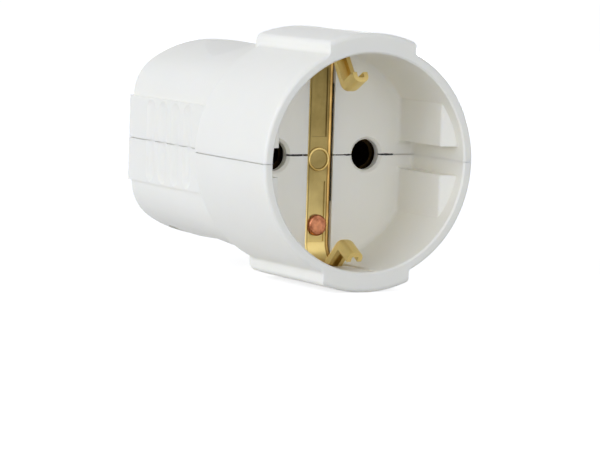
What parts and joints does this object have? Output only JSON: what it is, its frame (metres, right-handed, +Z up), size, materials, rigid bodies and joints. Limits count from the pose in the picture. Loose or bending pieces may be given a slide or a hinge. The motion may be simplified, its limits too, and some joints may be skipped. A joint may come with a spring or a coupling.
{
  "type": "earthed cord coupler",
  "caption": "White earthed cord coupler: round keyed well with pin sockets and sprung brass earth clips, eared collar, and a fluted grip with a cord inlet.",
  "frame": {"origin": "on the surface that the lower ear rests on, under the middle of the bounding box", "axes": "+Z up through the ears, +Y along the socket axis from the rim to the cord inlet, +X through the pins"},
  "size_m": [0.0424, 0.063, 0.046],
  "materials": {
    "housing": "white moulded thermoplastic, satin gloss",
    "brass": "rolled and formed brass strip",
    "copper": "cold-headed copper",
    "plated_steel": "zinc-plated steel",
    "clamp": "moulded polyamide"
  },
  "bodies": {
    "root": {"upper_shell": "housing", "lower_shell": "housing", "earth_bracket": "brass", "earth_rivet": "copper", "earth_terminal": "brass", "earth_terminal_screw": "plated_steel", "left_contact": "brass", "right_contact": "brass", "left_contact_spring": "plated_steel", "right_contact_spring": "plated_steel", "left_terminal_screw": "plated_steel", "right_terminal_screw": "plated_steel", "cable_clamp": "clamp", "left_clamp_screw": "plated_steel", "right_clamp_screw": "plated_steel", "left_housing_screw": "plated_steel", "right_housing_screw": "plated_steel", "left_housing_nut": "plated_steel", "right_housing_nut": "plated_steel"}
  },
  "joints": []
}
